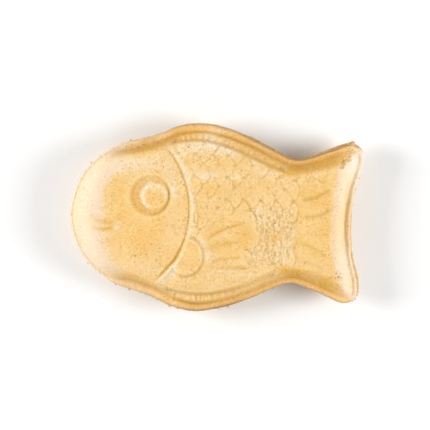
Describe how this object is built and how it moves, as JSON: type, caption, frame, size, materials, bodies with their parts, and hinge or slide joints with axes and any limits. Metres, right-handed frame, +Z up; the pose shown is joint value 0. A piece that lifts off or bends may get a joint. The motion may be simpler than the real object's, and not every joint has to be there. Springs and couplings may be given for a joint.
{
  "type": "taiyaki",
  "caption": "Fish-shaped batter cake pressed in a two-part iron, lying flat, with head, eye, gill, scales, fins and forked tail in relief on both sides.",
  "frame": {"origin": "middle of the bounding box, on the flat underside it rests on", "axes": "+X from nose to tail, +Y towards the back of the fish, +Z up out of the side that shows"},
  "size_m": [0.1498, 0.0964, 0.0284],
  "materials": {
    "crust": "matt golden baked batter, paler at the nose and the tail end, tan in the grooves"
  },
  "bodies": {
    "root": {"taiyaki": "crust"}
  },
  "joints": []
}
